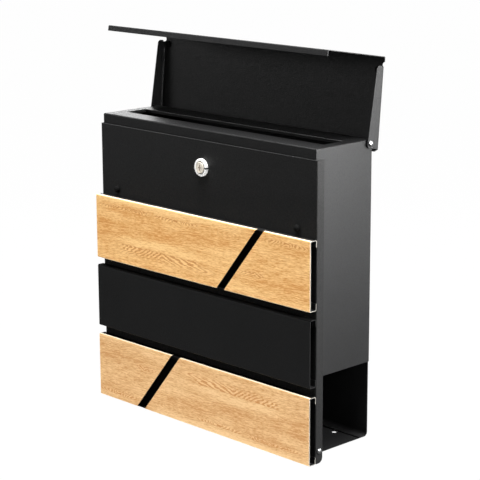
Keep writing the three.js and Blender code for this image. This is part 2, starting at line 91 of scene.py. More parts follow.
def math_node(operation: str, flipped: bool = False) -> Callable[["Value", "Value | float"], "Value"]:
    """An operator of Value that adds one Math node, with its two terms swapped if flipped."""

    def operator(self: "Value", other: "Value | float") -> "Value":
        """This value and another through the Math node."""
        terms = (other, self) if flipped else (self, other)
        return self.graph.node("ShaderNodeMath", dict(enumerate(terms)), operation=operation)

    return operator


class Value:
    """A shader socket that takes part in Python arithmetic."""

    __add__ = __radd__ = math_node("ADD")
    __mul__ = __rmul__ = math_node("MULTIPLY")
    __sub__ = math_node("SUBTRACT")
    __rsub__ = math_node("SUBTRACT", flipped=True)
    __truediv__ = math_node("DIVIDE")
    __pow__ = math_node("POWER")

    def __init__(self, graph: "Graph", socket: bpy.types.NodeSocket) -> None:
        """Wraps one output socket of a graph."""
        self.graph = graph
        self.socket = socket

    def sine(self) -> "Value":
        """The sine of this value in radians."""
        return self.graph.node("ShaderNodeMath", {0: self}, operation="SINE")

    def root(self) -> "Value":
        """The square root."""
        return self.graph.node("ShaderNodeMath", {0: self}, operation="SQRT")

    def logarithm(self) -> "Value":
        """The natural logarithm."""
        return self.graph.node("ShaderNodeMath", {0: self, 1: math.e}, operation="LOGARITHM")

    def clamped(self) -> "Value":
        """This value held between 0 and 1."""
        return self.graph.node("ShaderNodeClamp", {0: self, 1: 0.0, 2: 1.0})

    def ramp(self, start: float, end: float) -> "Value":
        """0 below `start`, 1 above `end` and a smooth step between them."""
        sockets = {0: self, 1: start, 2: end, 3: 0.0, 4: 1.0}
        return self.graph.node("ShaderNodeMapRange", sockets, interpolation_type="SMOOTHSTEP")


class Graph:
    """The node tree of one material or of the world."""

    def __init__(self, tree: bpy.types.NodeTree) -> None:
        """Starts an empty tree."""
        self.tree = tree
        tree.nodes.clear()

    def node(
        self,
        kind: str,
        sockets: dict | None = None,
        output: int | str = 0,
        **settings: object,
    ) -> Value:
        """Adds a node.

        Args:
            kind: the node's Blender type.
            sockets: values or links by socket name or number.
            output: the output to hand back.
            settings: node properties, set before the sockets.

        Returns:
            The chosen output as a Value.
        """
        made = self.tree.nodes.new(kind)
        for key, setting in settings.items():
            setattr(made, key, setting)
        for key, value in (sockets or {}).items():
            if isinstance(value, Value):
                self.tree.links.new(value.socket, made.inputs[key])
            else:
                made.inputs[key].default_value = value
        outputs = made.outputs
        return Value(self, outputs[output]) if len(outputs) else Value(self, None)

    def coordinates(self) -> Value:
        """The piece's own coordinates."""
        return self.node("ShaderNodeTexCoord", output="Object")

    def scaled(self, vector: Value, scale: Colour) -> Value:
        """A vector with each part multiplied by its own number."""
        return self.node("ShaderNodeVectorMath", {0: vector, 1: scale}, operation="MULTIPLY")

    def noise(self, vector: Value, scale: float, detail: float = 2.0, roughness: float = 0.5) -> Value:
        """Fractal noise from 0 to 1."""
        sockets = {"Vector": vector, "Scale": scale, "Detail": detail, "Roughness": roughness}
        return self.node("ShaderNodeTexNoise", sockets)

    def parts(self, vector: Value) -> tuple[Value, Value, Value]:
        """A vector's three parts."""
        x, y, z = self.node("ShaderNodeSeparateXYZ", {0: vector}).socket.node.outputs
        return Value(self, x), Value(self, y), Value(self, z)

    def joined(self, x: Value | float, y: Value | float, z: Value | float) -> Value:
        """Three numbers as one vector."""
        return self.node("ShaderNodeCombineXYZ", {0: x, 1: y, 2: z})

    def mixed(self, factor: Value | float, first: Value | Colour, second: Value | Colour) -> Value:
        """A blend of two colours."""
        pair = [c if isinstance(c, Value) else (*c, 1.0) for c in (first, second)]
        sockets = {0: factor, 6: pair[0], 7: pair[1]}
        return self.node("ShaderNodeMix", sockets, output=2, data_type="RGBA")

    def bump(self, height: Value, distance: float, strength: float = 1.0) -> Value:
        """A surface normal tilted by a height."""
        return self.node("ShaderNodeBump", {"Height": height, "Distance": distance, "Strength": strength})

    def principled(
        self, colour: Value, roughness: Value, normal: Value, specular: float = 0.5, metallic: float = 0.0,
    ) -> Value:
        """A Principled shader with a finish's colour, roughness and relief."""
        return self.node("ShaderNodeBsdfPrincipled", {
            "Base Color": colour, "Roughness": roughness, "Normal": normal,
            "Specular IOR Level": specular, "Metallic": metallic,
        })

    def finish(self, shader: Value, output: str = "Material") -> None:
        """Ends the tree in a material or world output."""
        self.node(f"ShaderNodeOutput{output}", {"Surface": shader})


# --- Finishes ---


@dataclass(frozen=True)
class Finish:
    """What every finish has: a name, its slot in the record and one material made on first use."""

    name: str
    slot: Slot

    def material(self) -> bpy.types.Material:
        """The finish as a material, made once."""
        made = bpy.data.materials.get(self.name)
        if made is None:
            made = bpy.data.materials.new(self.name)
            made.use_nodes = True
            graph = Graph(made.node_tree)
            graph.finish(self.shader(graph))
        return made

    def shader(self, graph: Graph) -> Value:
        """Builds the finish's nodes and hands back its shader."""
        raise NotImplementedError


@dataclass(frozen=True)
class PowderCoat(Finish):
    """Fine-textured powder coat: a fine stipple over a slight orange peel.

    The span of painted shade holds the left and right x, and the upper and lower z, between which a panel's
    coat turns darker and rougher.
    """

    dark: Colour = (0.0042, 0.0043, 0.0045)
    light: Colour = (0.0070, 0.0070, 0.0073)
    roughness: float = 0.46
    stipple_scale: float = 1250.0
    peel_scale: float = 300.0
    painted_shade_span: tuple[float, float, float, float] | None = None
    painted_shade_colour: Colour = (0.0006, 0.0006, 0.0006)

    def painted_shade_ramp(self, graph: Graph) -> Value | float:
        """0 where a panel's coat has no painted shade, rising to 1 towards the low right corner of its shaded
        span.
        """
        if self.painted_shade_span is None:
            return 0.0
        left, right, high, low = self.painted_shade_span
        x, _, z = graph.parts(graph.coordinates())
        return (x.ramp(left, right) * 0.8 + (z * -1.0).ramp(-high, -low) ** 1.5 * 0.9).clamped()

    def shader(self, graph: Graph) -> Value:
        """Stipple and peel drive the bump, and a little of the colour and roughness."""
        here = graph.coordinates()
        stipple = graph.noise(here, self.stipple_scale, 2.0, 0.55)
        peel = graph.noise(here, self.peel_scale, 1.0)
        cloud = graph.noise(here, 11.0, 2.0)
        colour = graph.mixed((stipple * 0.7 + cloud * 0.3).ramp(0.3, 0.7), self.dark, self.light)
        speck = graph.noise(here, 620.0, 1.0)
        shade_and_dulling = self.painted_shade_ramp(graph)
        # Painted shade: the colour falls to the darkest coat towards the panel's low right corner.
        colour = graph.mixed(shade_and_dulling, colour, self.painted_shade_colour) if self.painted_shade_span else colour
        rough = self.roughness + (stipple - 0.5) * 0.16 + (speck - 0.5) * 0.45
        rough = rough + (cloud - 0.5) * 0.05 + shade_and_dulling * 0.3
        return graph.principled(colour, rough, graph.bump(stipple * 0.9 + peel * 0.3, 0.26 * MM))


@dataclass(frozen=True)
class Nest:
    """Growth rings round a point of the oak print, in millimetres from the strip's middle.

    A nest with a nose shows only the half of its rings that closes towards the right.
    """

    u: float
    v: float
    half_length: float
    half_height: float
    rings: float
    strength: float
    nose: bool = True


@dataclass(frozen=True)
class Flame:
    """Growth rings that end at a ragged seam, in millimetres from the strip's middle."""

    u: float
    seam: float
    reach_left: float
    reach_right: float
    depth: float
    strength: float
    slope_left: float = 0.58
    slope_right: float = 0.22
    spacing: float = 3.6


@dataclass(frozen=True)
class Band:
    """A soft lengthwise band, darker or paler than the board, in millimetres from the strip's middle."""

    u: float
    v: float
    half_length: float
    half_height: float
    tone: float


@dataclass(frozen=True)
class OakFilm(Finish):
    """A printed oak film: soft bands, long fine pores, closed ring nests and ragged flames, with a painted
    highlight along its borders.
    """

    middle: float = 0.0
    turned: bool = False
    pale: Colour = (0.92, 0.592, 0.248)
    tan: Colour = (0.618, 0.266, 0.058)
    brown: Colour = (0.520, 0.196, 0.036)
    # The colour of the painted highlight along the film's folds and ends.
    highlight_cream: Colour = (0.92, 0.76, 0.56)
    half_height: float = 40.5
    half_length: float = 185.0
    flames: tuple[Flame, ...] = (
        Flame(-62, -15.0, 88, 82, 16, 1.0, 0.52, 0.20, 4.6),
        Flame(-128, 31.0, 54, 50, 5.5, 1.0, 0.60, 0.55, 4.0),
        Flame(-38, 30.5, 44, 46, 6.0, 0.95, 0.55, 0.60, 4.2),
        Flame(148, 33.5, 42, 60, 7.0, 0.95, 0.60, 0.60, 4.0),
        Flame(96, -10.0, 26, 20, 7.0, 0.80, 0.45, 0.30, 3.6),
    )
    nests: tuple[Nest, ...] = (
        Nest(-2, -24.0, 42, 6.0, 2.8, 0.85),
        Nest(58, 27.0, 27, 9.0, 4.2, 0.45, False),
        Nest(112, 14.0, 58, 9.0, 3.4, 0.45),
        Nest(92, -14.5, 24, 4.0, 2.2, 0.6),
    )
    bands: tuple[Band, ...] = (
        Band(-60, 9, 120, 13, 0.30),
        Band(30, 20, 90, 14, 0.26),
        Band(-165, 0, 60, 18, 0.26),
        Band(-60, -9, 130, 8, -0.34),
        Band(-60, 38, 200, 8, -0.60),
        Band(-120, 25, 90, 5, 0.22),
        Band(60, 0, 70, 16, -0.16),
        Band(60, -36, 60, 9, -0.24),
        Band(150, -20, 80, 20, 0.20),
        Band(150, 20, 50, 14, 0.12),
        Band(-70, -24, 80, 7, 0.16),
    )

    def board(self, graph: Graph) -> tuple[Value, Value]:
        """Millimetres along the board and across it, from the strip's middle."""
        sign = -1.0 if self.turned else 1.0
        x, _, z = graph.parts(graph.coordinates())
        return x * (sign / MM), (z - self.middle) * (sign / MM)

    def painted_highlight_mask(self, graph: Graph) -> Value:
        """1 for the painted highlight along the film's upper fold, and less along its other borders."""
        x, _, z = graph.parts(graph.coordinates())
        rise = (z - self.middle) * (1 / MM)
        upper = rise.ramp(self.half_height - 0.5, self.half_height - 0.1)
        lower = (rise * -1.0).ramp(self.half_height - 0.8, self.half_height - 0.2) * 0.7
        along = x * (1 / MM)
        end = (along * along).root().ramp(self.half_length - 0.6, self.half_length - 0.3) * 0.8
        return (upper + lower + end).clamped()

    @staticmethod
    def patch(along: Value, across: Value, softness: float = 0.9) -> Value:
        """1 in the middle of an oval of size 1 and 0 outside it."""
        radius = (along * along + across * across).root()
        return 1.0 - radius.ramp(1.0 - softness, 1.0)

    def ring_lines(self, graph: Graph, u: Value, v: Value) -> tuple[Value, Value]:
        """The growth rings of all nests and flames.

        Args:
            graph: the film's node tree.
            u: millimetres along the board.
            v: millimetres across it.

        Returns:
            The dark lines, and the zone that holds them.
        """
        teeth = graph.noise(graph.joined(u * 0.24, v * 0.10, 3.0), 1.0, 2.0, 0.6) - 0.5
        hooks = graph.noise(graph.joined(u * 0.045, v * 0.30, 6.0), 1.0, 1.0, 0.5) - 0.5
        slow = graph.noise(graph.joined(u * 0.02, v * 0.05, 9.0), 1.0, 1.0, 0.5) - 0.5
        total: Value | float = 0.0
        zone: Value | float = 0.0
        for flame in self.flames:
            reach = u - flame.u
            below = v * -1.0 + (flame.seam + slow * 2.6 + teeth * 2.8)
            aside = reach + hooks * 16.0
            distance = (aside * aside + 6.0).root()
            left = 1.0 - (reach * (-1.0 / flame.reach_left)).ramp(0.70, 1.0)
            right = 1.0 - (reach * (1.0 / flame.reach_right)).ramp(0.70, 1.0)
            crown = (distance * 0.25 + 1.0).logarithm() * 2.0
            legs = (distance - aside) * (0.5 * flame.slope_left)
            legs = legs + (distance + aside) * (0.5 * flame.slope_right)
            phase = (legs + crown - below + slow * 6.0 + hooks * 2.0) * (2 * math.pi / flame.spacing)
            line = phase.sine().ramp(-0.7, 0.9)
            fade = below.ramp(-0.2, 0.6) * (1.0 - below.ramp(0.35 * flame.depth, flame.depth))
            seam = below.ramp(-0.8, 0.2) * (1.0 - below.ramp(0.4, 2.8)) * 0.30
            reached = left * right * flame.strength
            total = (line * fade + seam) * reached + total
            zone = fade * reached + zone
        for nest in self.nests:
            along = (u - nest.u + slow * 14.0 + hooks * 6.0) / nest.half_length
            across = (v - nest.v + slow * 2.0 + teeth * 0.9) / nest.half_height
            radius = (along * along + across * across).root()
            line = ((radius * (2 * math.pi * nest.rings)).sine() * 0.5 + 0.5) ** 1.6
            held = (1.0 - radius.ramp(0.60, 1.0)) * nest.strength
            if nest.nose:
                held = held * along.ramp(-0.1, 0.5)
            total = line * held + total
            zone = held + zone
        return total.clamped(), zone.clamped()

    def shader(self, graph: Graph) -> Value:
        """Bands, streaks, pores and rings darken a pale board, and a painted cream highlight lightens its
        borders.
        """
        u, v = self.board(graph)
        drift = graph.noise(graph.joined(u * 0.008, v * 0.02, 1.0), 1.0, 1.0) - 0.5
        flow = v - u * 0.055 + drift * 9.0
        clouds = graph.noise(graph.joined(u * 0.013, flow * 0.10, 0.0), 1.0, 3.0, 0.6)
        streaks = graph.noise(graph.joined(u * 0.05, flow * 0.62, 5.0), 1.0, 2.0, 0.7)
        pores = graph.noise(graph.joined(u * 0.16, flow * 0.95, 7.0), 1.0, 3.0, 0.7)
        tone: Value = clouds.ramp(0.30, 0.70) * 0.40 + streaks.ramp(0.32, 0.68) * 0.50
        for band in self.bands:
            across = (v - band.v + drift * 5.0) / band.half_height
            tone = self.patch((u - band.u) / band.half_length, across) * band.tone + tone
        tone = tone + (pores - 0.5) * 2.4
        ring, zone = self.ring_lines(graph, u, v)
        tone = tone - zone * 0.30
        board = graph.mixed(tone.clamped(), self.pale, self.tan)
        lines = ring * (pores.ramp(0.30, 0.62) * 0.3 + 0.7) * 0.92 + pores.ramp(0.54, 0.70) * 0.24
        printed = graph.mixed(lines.clamped(), board, self.brown)
        # Painted highlight along the folds and ends.
        colour = graph.mixed(self.painted_highlight_mask(graph), printed, self.highlight_cream)
        height = 1.0 - pores.ramp(0.5, 0.75) * 0.6 - ring * 0.3
        return graph.principled(colour, 0.46 + pores * 0.12, graph.bump(height, 0.03 * MM, 0.3), 0.35)


@dataclass(frozen=True)
class CutLaminate(Finish):
    """The bright cut end of the film-faced sheet."""

    pale: Colour = (0.36, 0.34, 0.30)
    grey: Colour = (0.24, 0.23, 0.21)

    def shader(self, graph: Graph) -> Value:
        """Shear marks across the sheet."""
        here = graph.scaled(graph.coordinates(), (1.0, 1.0, 0.15))
        marks = graph.noise(here, 2400.0, 2.0)
        colour = graph.mixed(marks, self.pale, self.grey)
        return graph.principled(colour, marks * 0.2 + 0.35, graph.bump(marks, 0.03 * MM, 0.5), metallic=0.25)


@dataclass(frozen=True)
class Metal(Finish):
    """Plated metal with fine scratches of one length."""

    colour: Colour = (0.8, 0.8, 0.8)
    tint: Colour = (0.7, 0.7, 0.7)
    roughness: float = 0.3
    mottle: float = 700.0
    relief: float = 0.008 * MM
    metallic: float = 1.0

    def shader(self, graph: Graph) -> Value:
        """Mottled plating over faint machining marks."""
        here = graph.coordinates()
        mottle = graph.noise(here, self.mottle, 3.0, 0.6)
        scratch = graph.noise(graph.scaled(here, (1.0, 1.0, 9.0)), self.mottle * 2.0, 2.0)
        colour = graph.mixed(mottle.ramp(0.3, 0.7), self.colour, self.tint)
        rough = (mottle - 0.5) * 0.14 + (scratch - 0.5) * 0.08 + self.roughness
        normal = graph.bump(mottle * 0.6 + scratch * 0.4, self.relief, 0.6)
        return graph.principled(colour, rough, normal, metallic=self.metallic)


@dataclass(frozen=True)
class Moulded(Finish):
    """Rubber, nylon and painted shade in folds, seams and recesses: a matt skin with a fine mould grain."""

    colour: Colour = (0.012, 0.012, 0.012)
    bloom: Colour = (0.022, 0.022, 0.022)
    roughness: float = 0.7
    grain: float = 2600.0
    sheen: float = 0.5

    def shader(self, graph: Graph) -> Value:
        """Mould grain with a soft bloom."""
        here = graph.coordinates()
        grain = graph.noise(here, self.grain, 2.0)
        bloom = graph.noise(here, 240.0, 2.0)
        colour = graph.mixed(bloom.ramp(0.35, 0.7), self.colour, self.bloom)
        rough = (grain - 0.5) * 0.2 + self.roughness
        return graph.principled(colour, rough, graph.bump(grain, 0.02 * MM, 0.6), self.sheen)


JET = ((0.0008, 0.0008, 0.0008), (0.0016, 0.0016, 0.0016))
BLACK_COAT = PowderCoat("black_powder_coat", Slot.BLACK_COAT)
# The door's coat with painted shade: darker and rougher towards its right and down towards the upper strip.
SHADED_DOOR_COAT = PowderCoat(
    "door_coat_with_painted_shade", Slot.BLACK_COAT, (0.0052, 0.0053, 0.0055), (0.0086, 0.0086, 0.0089), 0.44,
    painted_shade_span=(-0.185, 0.185, 0.150, 0.080),
)
# A far paler coat for rolled edges: a painted highlight.
EDGE_HIGHLIGHT_COAT = PowderCoat("painted_highlight_edge_coat", Slot.BLACK_COAT, (0.12, 0.12, 0.122), (0.16, 0.16, 0.162), 0.36)
# Near-black painted shade on the top folds and flanges of the lower two strips, which the strips above shade.
FOLD_SHADE_COAT = Moulded("painted_shade_fold_coat", Slot.BLACK_COAT, *JET, 0.95, sheen=0.1)
# Near-black painted shade along the newspaper floor's pressed line.
SEAM_SHADE = Moulded("painted_shade_floor_seam", Slot.BLACK_COAT, *JET, 0.9, sheen=0.04)
ZINC = Metal("bright_zinc", Slot.ZINC, (0.78, 0.78, 0.76), (0.62, 0.63, 0.64), 0.30, 800.0)
CHROME = Metal(
    "satin_chrome", Slot.CHROME, (0.98, 0.975, 0.96), (0.93, 0.92, 0.90), 0.30, 1500.0, 0.003 * MM, 0.06,
)
NICKEL = Metal(
    "dull_nickel", Slot.CHROME, (0.86, 0.80, 0.70), (0.66, 0.60, 0.50), 0.42, 1100.0, 0.005 * MM, 0.20,
)
# Near-black painted shade in the lock's bore and index notch.
RECESS_SHADE = Moulded("painted_recess_shade", Slot.CHROME, (0.002, 0.002, 0.002), (0.004, 0.004, 0.004), 0.8)
# Brown painted shade in the plug's keyway.
KEYWAY_SHADE = Moulded("painted_keyway_shade", Slot.CHROME, (0.26, 0.20, 0.14), (0.34, 0.27, 0.20), 0.7)
RUBBER = Moulded("bumper_rubber", Slot.RUBBER, JET[0], (0.0018, 0.0018, 0.0018), 0.85, sheen=0.2)
NYLON = Moulded("black_nylon", Slot.NYLON, (0.016, 0.016, 0.017), (0.026, 0.026, 0.028), 0.5, 3200.0)
CUT_LAMINATE = CutLaminate("cut_laminate", Slot.WOOD_FILM)


# --- Modelling tools ---


def choose(piece: bpy.types.Object) -> None:
    """Makes one piece the only selected and active object."""
    bpy.ops.object.select_all(action="DESELECT")
    piece.select_set(True)
    bpy.context.view_layer.objects.active = piece


def select_whole_mesh() -> None:
    """Selects everything in the mesh that is being edited."""
    bpy.ops.mesh.select_all(action="SELECT")


class Bench:
    """One piece on the workbench, shaped with Blender's own mesh tools."""

    def __init__(self, piece: bpy.types.Object) -> None:
        """Takes up an existing piece."""
        self.piece = piece

    @classmethod
    def primitive(cls, name: str, kind: str, **settings: object) -> "Bench":
        """Adds a primitive at its size and place, with its transform applied.

        Args:
            name: the new piece's name.
            kind: the end of the primitive operator's name, such as plane or cylinder.
            settings: the operator's settings.

        Returns:
            The bench with the new piece on it.
        """
        bpy.ops.object.select_all(action="DESELECT")
        getattr(bpy.ops.mesh, f"primitive_{kind}_add")(**settings)
        piece = bpy.context.view_layer.objects.active
        piece.name = name
        bpy.ops.object.transform_apply(location=True, rotation=True, scale=True)
        return cls(piece)

    @classmethod
    def block(cls, name: str, low: Sequence[float], high: Sequence[float]) -> "Bench":
        """A box between two corners."""
        low, high = Vector(low), Vector(high)
        return cls.primitive(name, "cube", size=1.0, location=(low + high) / 2, scale=high - low)

    @classmethod
    def sheet(cls, name: str, low: Sequence[float], high: Sequence[float]) -> "Bench":
        """An upright sheet without thickness that faces the front, between two corners of one depth."""
        low, high = Vector(low), Vector(high)
        upright = (math.pi / 2, 0, 0)
        bench = cls.primitive(name, "plane", size=1.0, rotation=upright, location=(low + high) / 2)
        bench.edit()
        select_whole_mesh()
        bpy.ops.transform.resize(value=(high.x - low.x, 1.0, high.z - low.z))
        return bench.leave()

    @classmethod
    def turned(cls, name: str, profile: Sequence[tuple[float, float]], steps: int = 32) -> "Bench":
        """A piece spun about +Y through the origin.

        Args:
            name: the new piece's name.
            profile: (radius, height along +Y) pairs in metres, from axis to axis or closed on itself.
            steps: facets around the axis.

        Returns:
            The bench with the turned piece on it.
        """
        bench = cls.primitive(name, "plane", size=MM)
        bench.edit()
        bpy.ops.mesh.select_mode(type="VERT")
        select_whole_mesh()
        bpy.ops.mesh.merge(type="CENTER")
        radius, height = profile[0]
        bpy.ops.transform.translate(value=(radius, height, 0.0))
        for (r0, h0), (r1, h1) in zip(profile, profile[1:]):
            move = {"value": (r1 - r0, h1 - h0, 0.0)}
            bpy.ops.mesh.extrude_region_move(TRANSFORM_OT_translate=move)
        select_whole_mesh()
        bpy.ops.mesh.spin(steps=steps, angle=2 * math.pi, center=(0, 0, 0), axis=(0, 1, 0))
        select_whole_mesh()
        bpy.ops.mesh.remove_doubles(threshold=MERGE)
        select_whole_mesh()
        bpy.ops.mesh.normals_make_consistent(inside=False)
        return bench.leave()

    def edit(self) -> "Bench":
        """Goes into edit mode on this piece alone."""
        choose(self.piece)
        bpy.ops.object.mode_set(mode="EDIT")
        return self

    def leave(self) -> "Bench":
        """Goes back to object mode."""
        bpy.ops.object.mode_set(mode="OBJECT")
        return self

    def faces(self, test: Test) -> None:
        """Selects the faces whose centre and normal pass a test."""
        self._select("FACE", lambda mesh: [f for f in mesh.faces if test(f.calc_center_median(), f.normal)])

    def edges(self, test: Test) -> None:
        """Selects the edges whose two ends pass a test."""
        self._select("EDGE", lambda mesh: [e for e in mesh.edges if test(e.verts[0].co, e.verts[1].co)])

    def _select(self, mode: str, find: Callable[[bmesh.types.BMesh], list]) -> None:
        """Deselects everything and selects what a search of the mesh finds."""
        bpy.ops.mesh.select_mode(type=mode)
        bpy.ops.mesh.select_all(action="DESELECT")
        mesh = bmesh.from_edit_mesh(self.piece.data)
        for part in find(mesh):
            part.select_set(True)
        bmesh.update_edit_mesh(self.piece.data)

    def modifier(self, kind: str, **settings: object) -> "Bench":
        """Adds one modifier and applies it."""
        choose(self.piece)
        added = self.piece.modifiers.new(kind.lower(), kind)
        for key, value in settings.items():
            setattr(added, key, value)
        bpy.ops.object.modifier_apply(modifier=added.name)
        return self

    def cut(self, *tools: "Bench") -> "Bench":
        """Cuts other pieces out of this one and throws them away."""
        for tool in tools:
            self.modifier("BOOLEAN", operation="DIFFERENCE", object=tool.piece, solver="EXACT")
            bpy.data.objects.remove(tool.piece)
        return self

    def round_edges(self, width: float, segments: int = 2, angle: float = 35.0) -> "Bench":
        """Rounds every edge sharper than an angle in degrees."""
        return self.modifier(
            "BEVEL", width=width, segments=segments, limit_method="ANGLE", angle_limit=math.radians(angle),
            use_clamp_overlap=True, harden_normals=False,
        )

    def smooth(self, angle: float = 32.0) -> "Bench":
        """Shades smooth below an angle in degrees, with large faces kept flat."""
        choose(self.piece)
        bpy.ops.object.shade_smooth_by_angle(angle=math.radians(angle))
        return self.modifier("WEIGHTED_NORMAL", keep_sharp=True, weight=80)

    def transform(self, matrix: Matrix) -> "Bench":
        """Moves the mesh itself."""
        self.piece.data.transform(matrix)
        self.piece.data.update()
        return self

    def centre_on(self, node: str) -> "Bench":
        """Moves the piece so that the middle of its box is the middle of a CAD node's."""
        points = [v.co for v in self.piece.data.vertices]
        centre = Vector([(min(p[i] for p in points) + max(p[i] for p in points)) / 2 for i in range(3)])
        return self.transform(Matrix.Translation(middle(node) - centre))

    def dress(self, finish: Finish, test: Test | None = None) -> "Bench":
        """Adds a finish, on the faces whose middle and normal pass a test or else on the whole piece.

        Args:
            finish: the finish to add.
            test: takes a face's middle and normal and says whether it wears the finish.

        Returns:
            The same bench.
        """
        mesh = self.piece.data
        mesh.materials.append(finish.material())
        if test:
            for face in mesh.polygons:
                if test(face.center, face.normal):
                    face.material_index = len(mesh.materials) - 1
        return self

    def copy(self, name: str) -> "Bench":
        """A copy with its own mesh."""
        twin = bpy.data.objects.new(name, self.piece.data.copy())
        bpy.context.scene.collection.objects.link(twin)
        return Bench(twin)


def report(bench: Bench, body: Body, finish: Finish, *stands_for: str) -> bpy.types.Object:
    """Dresses a finished piece, puts it on its body and reports it.

    Args:
        bench: the bench with the finished piece.
        body: the body that it moves with.
        finish: its main finish.
        stands_for: the CAD nodes that it replaces.

    Returns:
        The finished object.
    """
    piece = bench.piece
    if not piece.data.materials:
        piece.data.materials.append(finish.material())
    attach(piece, body.value)
    if stands_for:
        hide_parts(*stands_for)
    log.info("%s: %d faces on %s", piece.name, len(piece.data.polygons), body.value)
    return piece


def coated_copy(node: str, name: str = "", rounding: float = 0.22 * MM, rolled: Test | None = None) -> Bench:
    """A sheet-steel node with its facets joined and its cut edges rounded.

    Args:
        node: the CAD node.
        name: the new piece's name, if it isn't the node's with coated_ before it.
        rounding: radius of the rounded edges.
        rolled: picks edges, by their two ends, that are rolled over by most of the sheet's thickness.

    Returns:
        The bench with the new piece on it.
    """
    piece = bpy.data.objects.new(name or f"coated_{node}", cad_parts[node].data.copy())
    bpy.context.scene.collection.objects.link(piece)
    piece.data.materials.clear()
    bench = Bench(piece).edit()
    select_whole_mesh()
    bpy.ops.mesh.remove_doubles(threshold=MERGE)
    select_whole_mesh()
    bpy.ops.mesh.dissolve_limited(angle_limit=math.radians(0.4))
    if rolled:
        bench.edges(rolled)
        bpy.ops.mesh.bevel(offset=0.68 * MM, segments=4, affect="EDGES")
    bench.leave()
    bpy.ops.mesh.customdata_custom_splitnormals_clear()
    return bench.round_edges(rounding).smooth()


def in_mm(*points: tuple[float, float]) -> list[tuple[float, float]]:
    """Profile points given in millimetres, in metres."""
    return [(radius * MM, height * MM) for radius, height in points]


def middle(node: str) -> Vector:
    """The middle of a CAD node's box."""
    low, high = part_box(node)
    return (low + high) / 2


def size(node: str) -> Vector:
    """The size of a CAD node's box."""
    low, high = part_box(node)
    return high - low


def quarter_round(radius: float, height: float, rise: float, steps: int = 5) -> list[tuple[float, float]]:
    """Points of a quarter ellipse from the rim of a dome to just before its top.

    Args:
        radius: the dome's radius.
        height: where the dome starts.
        rise: how high it is.
        steps: points along it.

    Returns:
        (radius, height) pairs.
    """
    angles = [math.pi / 2 * i / steps for i in range(steps)]
    return [(radius * math.cos(a), height + rise * math.sin(a)) for a in angles]


# --- Sub-assemblies ---


@dataclass(frozen=True)
class Rim:
    """An edge along x, at one depth and height, that is rolled over towards the front."""

    depth: float
    height: float
    shortest: float = 100.0 * MM
    reach: float = 0.75 * MM

    def has_edge(self, a: Vector, b: Vector) -> bool:
        """True of the two ends of the rim's edge."""
        level = all(abs(p.y - self.depth) < CLOSE and abs(p.z - self.height) < CLOSE for p in (a, b))
        return level and abs(a.x - b.x) > self.shortest

    def has_face(self, place: Vector, normal: Vector) -> bool:
        """True of a face on the rolled rim."""
        near = abs(place.y - self.depth) < self.reach and self.height - place.z < self.reach
        return near and normal.z > 0.1 and normal.y < -0.1


@dataclass
class Case:
    """Case shell, back panel with the newspaper floor, and letter tray."""

    slot_rear: Rim = Rim(-33.0 * MM, 182.0 * MM, 10.0 * MM)
    seam_depth: float = -14.0 * MM
    seam_reach: float = 1.9 * MM
    seam_half_length: float = 174.0 * MM
    floor_top: float = -170.7 * MM

    def build(self) -> None:
        """Coats the sheet pieces, rolls the slot's rear rim with a painted highlight on it, and paints shade
        along the seam in the newspaper floor.
        """
        shell = coated_copy("case_shell", rolled=self.slot_rear.has_edge)
        # The slot's rolled rear rim gets a painted highlight.
        shell.dress(BLACK_COAT).dress(EDGE_HIGHLIGHT_COAT, self.slot_rear.has_face)
        report(shell, Body.CASE, BLACK_COAT, "case_shell")
        back = coated_copy("back_panel")
        self.mark_seam(back)
        # Painted shade on a band along the pressed line.
        back.dress(BLACK_COAT).dress(SEAM_SHADE, self.in_seam)
        report(back, Body.CASE, BLACK_COAT, "back_panel")
        report(coated_copy("letter_tray"), Body.CASE, BLACK_COAT, "letter_tray")

    def mark_seam(self, bench: Bench) -> None:
        """Divides the newspaper floor's faces along both sides of its pressed line."""
        bench.edit()
        for side in (-1, 1):
            select_whole_mesh()
            depth = self.seam_depth + side * self.seam_reach
            bpy.ops.mesh.bisect(plane_co=(0.0, depth, 0.0), plane_no=(0.0, 1.0, 0.0))
        bench.leave()

    def in_seam(self, place: Vector, normal: Vector) -> bool:
        """True of a face on or beside the pressed line of the newspaper floor."""
        sunk = self.floor_top - place.z
        beside = abs(place.y - self.seam_depth) < self.seam_reach
        beside = beside and abs(place.x) < self.seam_half_length
        return beside and -0.05 * MM < sunk < 0.55 * MM and normal.z > -0.5


@dataclass
class Bumper:
    """A stick-on rubber dome with a thin foot."""

    node: str
    body: Body
    turn: float
    foot: float = 0.35 * MM

    def build(self) -> None:
        """Turns one dome and stands it where the node is."""
        across = size(self.node).x / 2
        thickness = self.thickness()
        shoulder = 0.30 * thickness
        profile = [(0.0, 0.0), (across - self.foot, 0.0), (across, self.foot), (across, shoulder)]
        profile += quarter_round(across * 0.985, shoulder, thickness - shoulder, 7)[1:]
        bench = Bench.turned(f"{self.node}_dome", [*profile, (0.0, thickness)], 36)
        bench.smooth(50.0)
        bench.transform(Matrix.Rotation(self.turn, 4, "X"))
        bench.centre_on(self.node)
        report(bench, self.body, RUBBER, self.node)

    def thickness(self) -> float:
        """The dome's height, from the node's tilted box."""
        across = size(self.node).x
        tilt = abs(math.cos(self.turn))
        lean = abs(math.sin(self.turn))
        return (size(self.node).y - across * lean) / tilt


@dataclass
class Lid:
    """The lid panel and its two rubber bumpers."""

    open_angle: float = 99.5
    roof_slope: float = 4.67

    def build(self) -> None:
        """Coats the lid and sticks the bumpers inside it."""
        report(coated_copy("lid_panel"), Body.LID, BLACK_COAT, "lid_panel")
        lean = math.radians(self.roof_slope - 90.0 - self.open_angle)
        for side, _ in LEFT_RIGHT:
            Bumper(f"lid_bumper_{side}", Body.LID, lean).build()


